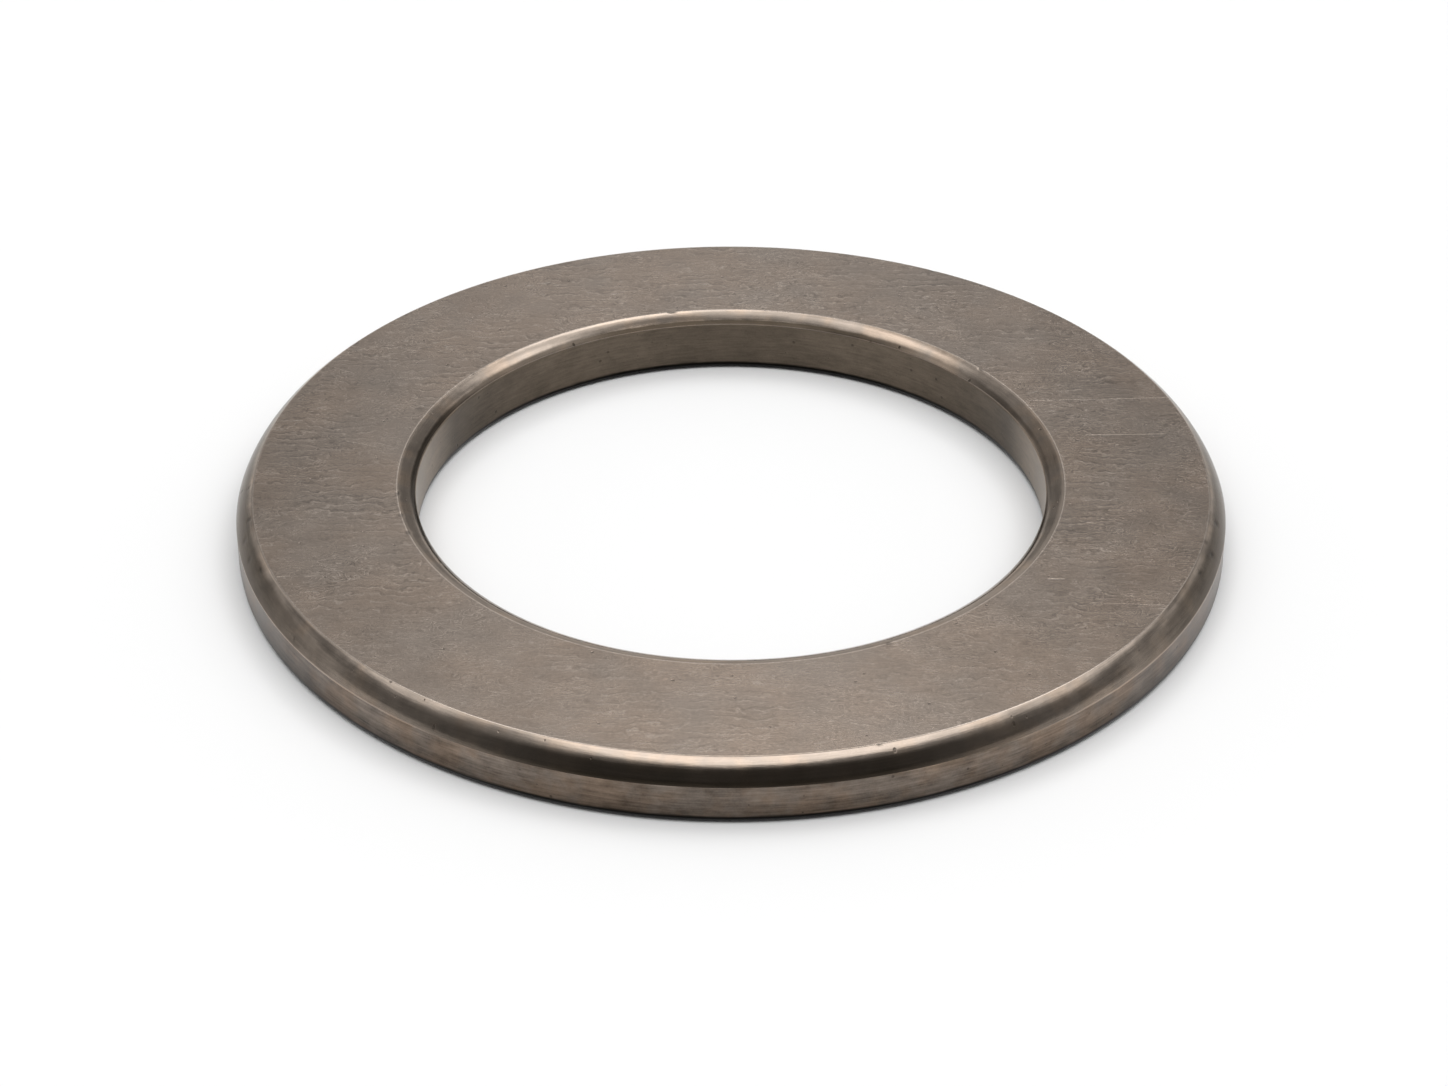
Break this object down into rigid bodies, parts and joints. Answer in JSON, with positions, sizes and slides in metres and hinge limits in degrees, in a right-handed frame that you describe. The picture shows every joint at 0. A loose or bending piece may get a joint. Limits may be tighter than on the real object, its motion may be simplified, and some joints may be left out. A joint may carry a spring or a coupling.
{
  "type": "shaft washer",
  "caption": "Flat ground steel ring with rounded upper edges, the shaft washer of an axial roller bearing.",
  "frame": {"origin": "middle of the raceway's plane, on the ring's axis", "axes": "+Z along the ring's axis, from the raceway to the shoulder face; the ring is round, so X and Y are free"},
  "size_m": [0.047, 0.047, 0.003],
  "materials": {
    "bearing_steel": "hardened bearing steel, ground and lightly scratched, with a warm grey film"
  },
  "bodies": {
    "root": {"shaft_washer": "bearing_steel"}
  },
  "joints": []
}
